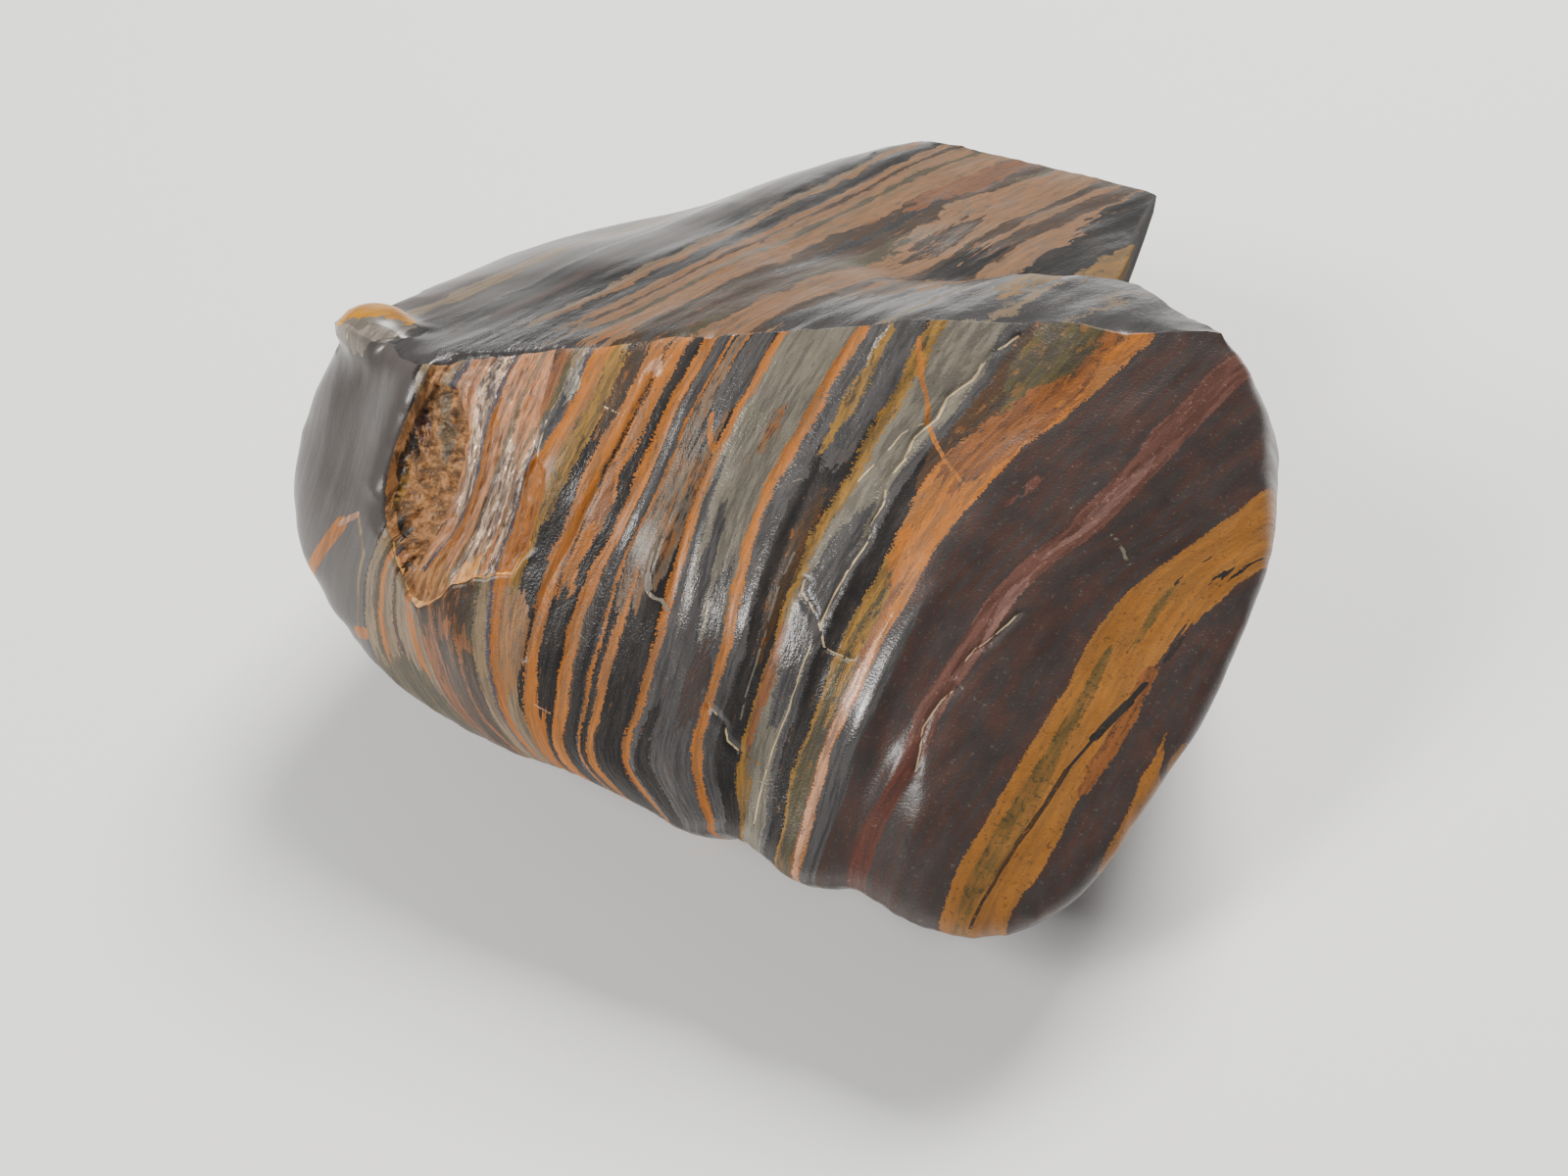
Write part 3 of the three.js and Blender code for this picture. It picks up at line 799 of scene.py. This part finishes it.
        ("steel", 4.5, 20, 12, 16.4), ("tan", 11.9, 12.35, 12, 16.8), ("tan", 14.9, 15.4, 13, 17),
        ("tan", 17.2, 17.5, 13, 17), ("steel", -32, -3.2, 8, 14.4), ("tan", -8.5, -8, 12, 14.2),
        ("ochre", -4.5, -4.1, 12, 14.6),
    ],
}


def mineralNumber(name):
    return (mineralNames.index(name) + 0.5) / len(mineralNames)


def steppedRamp(tree, value, steps):
    # a colour ramp that doesn't blend: position and colour of each step
    ramp = addNode(tree, "ShaderNodeValToRGB")
    ramp.color_ramp.interpolation = "CONSTANT"
    tree.links.new(value, ramp.inputs["Fac"])
    stops = ramp.color_ramp.elements
    stops.remove(stops[-1])
    for i, (position, color) in enumerate(steps):
        stop = stops[0] if i == 0 else stops.new(position)
        stop.position = position
        stop.color = color
    return ramp.outputs["Color"]


def layerRamps(tree, layer, rows, spans):
    # mineral number of the layer, from colour ramps laid end to end
    result = None
    for start, end in spans:
        share = calc(tree, "DIVIDE", calc(tree, "SUBTRACT", layer, start), end - start)
        before = [row for row in rows if row[0] <= start][-1]
        inSpan = [(start, before[1])] + [row for row in rows if start < row[0] < end]
        steps = [
            ((position - start) / (end - start), [mineralNumber(mineral)] * 3 + [1])
            for position, mineral in inSpan
        ]
        ramp = steppedRamp(tree, share, steps)
        value = addNode(tree, "ShaderNodeSeparateColor")
        tree.links.new(ramp, value.inputs["Color"])
        if result is None:
            result = value.outputs[0]
        else:
            past = calc(tree, "GREATER_THAN", layer, start)
            result = blendValue(tree, past, result, value.outputs[0])
    return result


def mineralRamp(tree, number, pick):
    # looks a mineral's colour or value up by its number
    steps = [
        (i / len(mineralNames), (*pick(minerals[name]), 1)) for i, name in enumerate(mineralNames)
    ]
    return steppedRamp(tree, number, steps)


def addPatches(tree, number, patch, place, patches):
    for mineral, left, right, bottom, top in patches:
        mask = useGroup(tree, patch, **{
            "Place": place, "Middle": ((left + right) / 2, (bottom + top) / 2, 0),
            "Share": (2 / (right - left), 2 / (top - bottom), 0),
        })
        number = blendValue(tree, mask, number, mineralNumber(mineral))
    return number


def addVeins(tree, number, at, look):
    vein = veinGroup()
    across, along = look["veinRagged"]
    place = joinXyz(
        tree, scaleAdd(tree, at.ragged, across, at.layer), scaleAdd(tree, at.ends, along, at.rise)
    )
    broken = calc(tree, "GREATER_THAN", at.ends, look["veinGaps"])
    for mineral, half, *points in look["faceVeins"]:
        masks = None
        for (ax, ay), (bx, by) in zip(points, points[1:]):
            square = (bx - ax) ** 2 + (by - ay) ** 2
            mask = useGroup(tree, vein, **{
                "Place": place, "Start": (ax, ay, 0), "Run": (bx - ax, by - ay, 0),
                "Share": ((bx - ax) / square, (by - ay) / square, 0), "Half Width": half,
            })
            masks = mask if masks is None else calc(tree, "MAXIMUM", masks, mask)
        if half < look["gapsBelow"]:
            masks = times(tree, masks, broken)
        number = blendValue(tree, masks, number, mineralNumber(mineral))
    return number


def layPlaces(tree, look):
    # places in the layers, and the noises that make their edges wander and ragged
    at = SimpleNamespace()
    at.layer = readAttribute(tree, "layer")
    at.rise = readAttribute(tree, "rise")
    at.space = joinXyz(tree, at.layer, at.rise, readAttribute(tree, "strike"))
    broad = centred(tree, layerGrain(tree, at.space, *look["broad"]))
    at.ragged = centred(tree, layerGrain(tree, at.space, *look["ragged"]))
    wandered = scaleAdd(tree, broad, look["wander"] * 2, at.layer)
    at.plain = ease(tree, at.layer, *look["brownEdge"])
    rough = scaleAdd(tree, at.plain, -look["brownCalm"], 1.0)
    wandered = scaleAdd(tree, times(tree, at.ragged, rough), look["edgeRagged"], wandered)
    at.crystals = grain(tree, at.space, *look["crystals"])
    feather = times(tree, centred(tree, at.crystals), rough)
    at.wandered = scaleAdd(tree, feather, look["feather"], wandered)
    at.blotch = centred(tree, layerGrain(tree, at.space, *look["blotch"]))
    at.ends = centred(tree, layerGrain(tree, at.space, *look["ends"]))
    at.endRise = scaleAdd(tree, at.ends, look["patchRagged"], at.rise)
    return at


def pastLevel(tree, side, noiseValue, place, edge):
    # 1 on one side of a level, with a ragged edge
    ragged, level = edge
    return calc(tree, side, scaleAdd(tree, noiseValue, ragged, place), level)


def pickMineral(tree, at, look):
    # the number of the mineral at each point
    place = joinXyz(tree, at.wandered, at.endRise)
    number = layerRamps(tree, at.wandered, look["faceLayers"], look["faceRamps"])
    patch = patchGroup()
    number = addPatches(tree, number, patch, place, look["facePatches"])
    number = addVeins(tree, number, at, look)

    # the broken patch, a painted highlight along the lit edge of its lip, and its pit
    scar = readAttribute(tree, "scar")
    inScar = pastLevel(tree, "GREATER_THAN", at.ragged, scar, look["scarEdge"])
    scarNumber = layerRamps(tree, at.wandered, look["scarLayers"], look["scarRamps"])
    scarNumber = addPatches(tree, scarNumber, patch, place, look["scarPatches"])
    number = blendValue(tree, inScar, number, scarNumber)
    # painted highlight: a thin bright line along the edge of the broken patch, low on the face
    toEdge = scaleAdd(tree, at.ragged, look["litLipRagged"], readAttribute(tree, "scar"))
    toEdge = calc(tree, "ABSOLUTE", toEdge)
    onLitLip = calc(tree, "LESS_THAN", toEdge, scaleAdd(tree, at.blotch, *look["litLipWidth"]))
    onLitLip = times(tree, onLitLip, pastLevel(tree, "LESS_THAN", at.ends, at.rise, look["litLipTop"]))
    number = blendValue(tree, onLitLip, number, mineralNumber("paintedLipHighlight"))
    pit = readAttribute(tree, "pit")
    at.inPit = pastLevel(tree, "GREATER_THAN", at.ragged, pit, look["pitEdge"])
    pitNumber = addPatches(tree, mineralNumber("crumb"), patch, place, look["pitPatches"])
    number = blendValue(tree, at.inPit, number, pitNumber)

    # the nub, and the top with layers of its own
    nubAway = readAttribute(tree, "nub")
    nub = pastLevel(tree, "LESS_THAN", at.ragged, nubAway, look["nubEdge"])
    nubTop = pastLevel(tree, "GREATER_THAN", at.ragged, at.rise, look["nubTop"])
    nubNumber = blendValue(tree, nubTop, mineralNumber("shell"), mineralNumber("yolk"))
    at.behind = calc(tree, "GREATER_THAN", readAttribute(tree, "behind"), look["behindFrom"])
    drift = scaleAdd(tree, at.blotch, look["topDrift"], at.wandered)
    topNumber = layerRamps(tree, drift, look["topLayers"], look["topRamps"])
    topPlace = joinXyz(tree, drift, at.endRise)
    topNumber = addPatches(tree, topNumber, patch, topPlace, look["topPatches"])
    number = blendValue(tree, at.behind, number, topNumber)
    return blendValue(tree, nub, number, nubNumber)


def paintColor(tree, at, number, look):
    # two tones of each mineral in fine streaks, with flecks of a third, dust and pores; then a
    # random tone, with painted shade on the top and back and in the pit's hollows
    first = mineralRamp(tree, number, lambda m: m[0])
    second = mineralRamp(tree, number, lambda m: m[1])
    third = mineralRamp(tree, number, lambda m: m[2])
    at.finish = addNode(tree, "ShaderNodeSeparateColor")
    tree.links.new(mineralRamp(tree, number, lambda m: m[3:6]), at.finish.inputs["Color"])
    streaks = layerGrain(tree, at.space, *look["streaks"])
    lost = times(tree, at.behind, look["streaksLost"])
    streaks = blendValue(tree, lost, streaks, 0.5)
    pitStreaks = grain(tree, at.space, *look["pitStreaks"])
    at.streaks = blendValue(tree, at.inPit, streaks, pitStreaks)
    tone = scaleAdd(tree, at.blotch, look["toneBlotch"], at.streaks)
    color = blendColor(tree, ease(tree, tone, *look["toneTurn"]), first, second)

    noDirection = calc(tree, "MAXIMUM", at.plain, at.inPit)
    along = blendValue(tree, noDirection, *look["speckAlong"])
    stretch = joinXyz(tree, look["speckAcross"], along, along)
    specks = grain(tree, vecCalc(tree, "MULTIPLY", at.space, stretch), *look["specks"])
    lower = times(tree, at.finish.outputs[2], look["fleckShare"])
    level = calc(tree, "SUBTRACT", look["fleckLevel"], lower)
    flecks = ease(tree, specks, level, calc(tree, "ADD", level, look["fleckEdge"]))
    color = blendColor(tree, times(tree, flecks, look["fleckCover"]), color, third)

    gathered = scaleAdd(tree, at.blotch, look["dustBlotch"], at.crystals)
    dusty = times(tree, ease(tree, gathered, *look["dustTurn"]), look["dustCover"])
    color = blendColor(tree, dusty, color, look["dust"])
    porous = times(tree, ease(tree, at.crystals, *look["poreTurn"]), look["poreCover"])
    color = blendColor(tree, porous, color, look["pores"])

    blotches = scaleAdd(tree, at.smoothLobe, *look["shadeBlotch"])
    # the top and back darker, a painted shade
    paintedTopShade = scaleAdd(tree, at.behind, look["paintedShadeBehind"], 1.0)
    shade = scaleAdd(tree, at.blotch, blotches, paintedTopShade)
    # painted shade: darker in the pit's hollows, laid by noise
    hollows = ease(tree, grain(tree, at.space, *look["hollows"]), *look["hollowTurn"])
    shade = changeIn(tree, times(tree, hollows, at.inPit), look["paintedHollowShade"], shade)
    return vecCalc(tree, "MULTIPLY", color, joinXyz(tree, shade, shade, shade))


def surfaceHeight(tree, at, look):
    # fine lamina, deeper in the broken patch, and pebbly grains, most of all in the pit
    scar = ease(tree, readAttribute(tree, "scar"), *look["scarTurn"])
    deepness = scaleAdd(tree, scar, look["scarDeeper"], 1.0)
    quiet = times(tree, at.behind, look["behindQuiet"])
    quiet = calc(tree, "MAXIMUM", at.smoothLobe, quiet)
    deepness = changeIn(tree, quiet, look["quietCalm"], deepness)
    deepness = changeIn(tree, at.plain, look["brownFine"], deepness)
    fine = centred(tree, layerGrain(tree, at.space, *look["fine"]))
    pebbles = centred(tree, grain(tree, at.space, *look["pebbles"]))
    pebbles = times(tree, pebbles, look["crystalBump"])
    pebbles = changeIn(tree, at.smoothLobe, look["lobePebbles"], pebbles)
    pebbles = changeIn(tree, at.inPit, look["pitPebbles"], pebbles)
    pebbles = changeIn(tree, at.behind, look["behindPebbles"], pebbles)
    deepness = changeIn(tree, at.inPit, look["pitFine"], deepness)
    return scaleAdd(tree, fine, deepness, pebbles)


def stoneMaterial(look):
    material = bpy.data.materials.new("bandedTigerIron")
    material.use_nodes = True
    tree = material.node_tree
    tree.nodes.clear()
    out = addNode(tree, "ShaderNodeOutputMaterial")
    shader = addNode(tree, "ShaderNodeBsdfPrincipled")
    tree.links.new(shader.outputs[0], out.inputs["Surface"])

    at = layPlaces(tree, look)
    number = pickMineral(tree, at, look)
    at.smoothLobe = ease(tree, at.layer, *look["lobeEdge"])
    tree.links.new(paintColor(tree, at, number, look), shader.inputs["Base Color"])

    dull = scaleAdd(tree, centred(tree, at.streaks), look["streakDull"], at.finish.outputs[0])
    dull = scaleAdd(tree, readAttribute(tree, "farSide"), look["farDull"], dull)
    tree.links.new(dull, shader.inputs["Roughness"])
    tree.links.new(at.finish.outputs[1], shader.inputs["Metallic"])
    shader.inputs["IOR"].default_value = look["ior"]
    shader.inputs["Specular IOR Level"].default_value = look["specular"]
    shader.inputs["Coat Roughness"].default_value = look["coatRoughness"]
    coat = scaleAdd(tree, readAttribute(tree, "farSide"), -look["coat"], look["coat"])
    tree.links.new(coat, shader.inputs["Coat Weight"])

    bump = addNode(tree, "ShaderNodeBump")
    bump.inputs["Strength"].default_value = look["bump"]
    bump.inputs["Distance"].default_value = look["bumpHeight"]
    tree.links.new(surfaceHeight(tree, at, look), bump.inputs["Height"])
    tree.links.new(bump.outputs[0], shader.inputs["Normal"])
    print("stone material:", len(tree.nodes), "nodes")
    return material


stonePiece = buildStone(stone)
stonePiece.data.materials.append(stoneMaterial(stoneLook))
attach(stonePiece, "root")
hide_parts("tiger_iron")

studio = {
    "floorSize": 3.0,
    "floorColor": (0.80, 0.80, 0.79, 1),
    "floorRoughness": 0.6,
    "worldColor": (0.86, 0.92, 1.0, 1),
    "worldStrength": 0.22,
    # name, place in m, width, height, power, colour
    "lights": [
        ("backLight", (0.16, 0.32, 0.50), 0.26, 0.26, 7, (1.0, 0.98, 0.95)),
        ("leftLight", (-0.37, -0.215, 0.42), 0.12, 0.24, 3.6, (1.0, 0.98, 0.95)),
    ],
    "lightsAim": (0, 0, 0.015),
}


def buildStudio(settings):
    bpy.ops.mesh.primitive_plane_add(size=settings["floorSize"], location=(0, 0, 0))
    floor = bpy.context.object
    floor.name = "floor"
    material = bpy.data.materials.new("paleFloor")
    material.use_nodes = True
    shader = material.node_tree.nodes["Principled BSDF"]
    shader.inputs["Base Color"].default_value = settings["floorColor"]
    shader.inputs["Roughness"].default_value = settings["floorRoughness"]
    floor.data.materials.append(material)
    world = bpy.data.worlds.new("softSky")
    world.use_nodes = True
    background = world.node_tree.nodes["Background"]
    background.inputs["Color"].default_value = settings["worldColor"]
    background.inputs["Strength"].default_value = settings["worldStrength"]
    bpy.context.scene.world = world
    for name, place, width, tall, power, color in settings["lights"]:
        data = bpy.data.lights.new(name, "AREA")
        data.shape = "RECTANGLE"
        data.size, data.size_y = width, tall
        data.energy = power
        data.color = color
        lamp = bpy.data.objects.new(name, data)
        lamp.location = place
        aim = Vector(settings["lightsAim"]) - Vector(place)
        lamp.rotation_euler = aim.to_track_quat("-Z", "Y").to_euler()
        bpy.context.scene.collection.objects.link(lamp)
    print("studio ready")


view = {
    "place": (0.00024, -0.11554, 0.1451),  # m
    "tilt": 40.0,                          # degrees, from looking straight down
    "lens": 54.0,                          # mm, as is the sensor's width
    "sensor": 36.0,
    "nearest": 0.005,                      # m
}


def buildCamera(settings):
    data = bpy.data.cameras.new("camera")
    data.lens = settings["lens"]
    data.sensor_fit = "HORIZONTAL"
    data.sensor_width = settings["sensor"]
    data.clip_start = settings["nearest"]
    camera = bpy.data.objects.new("camera", data)
    camera.location = settings["place"]
    camera.rotation_euler = (math.radians(settings["tilt"]), 0, 0)
    bpy.context.scene.collection.objects.link(camera)
    bpy.context.scene.camera = camera
    print("camera ready")


buildStudio(studio)
buildCamera(view)
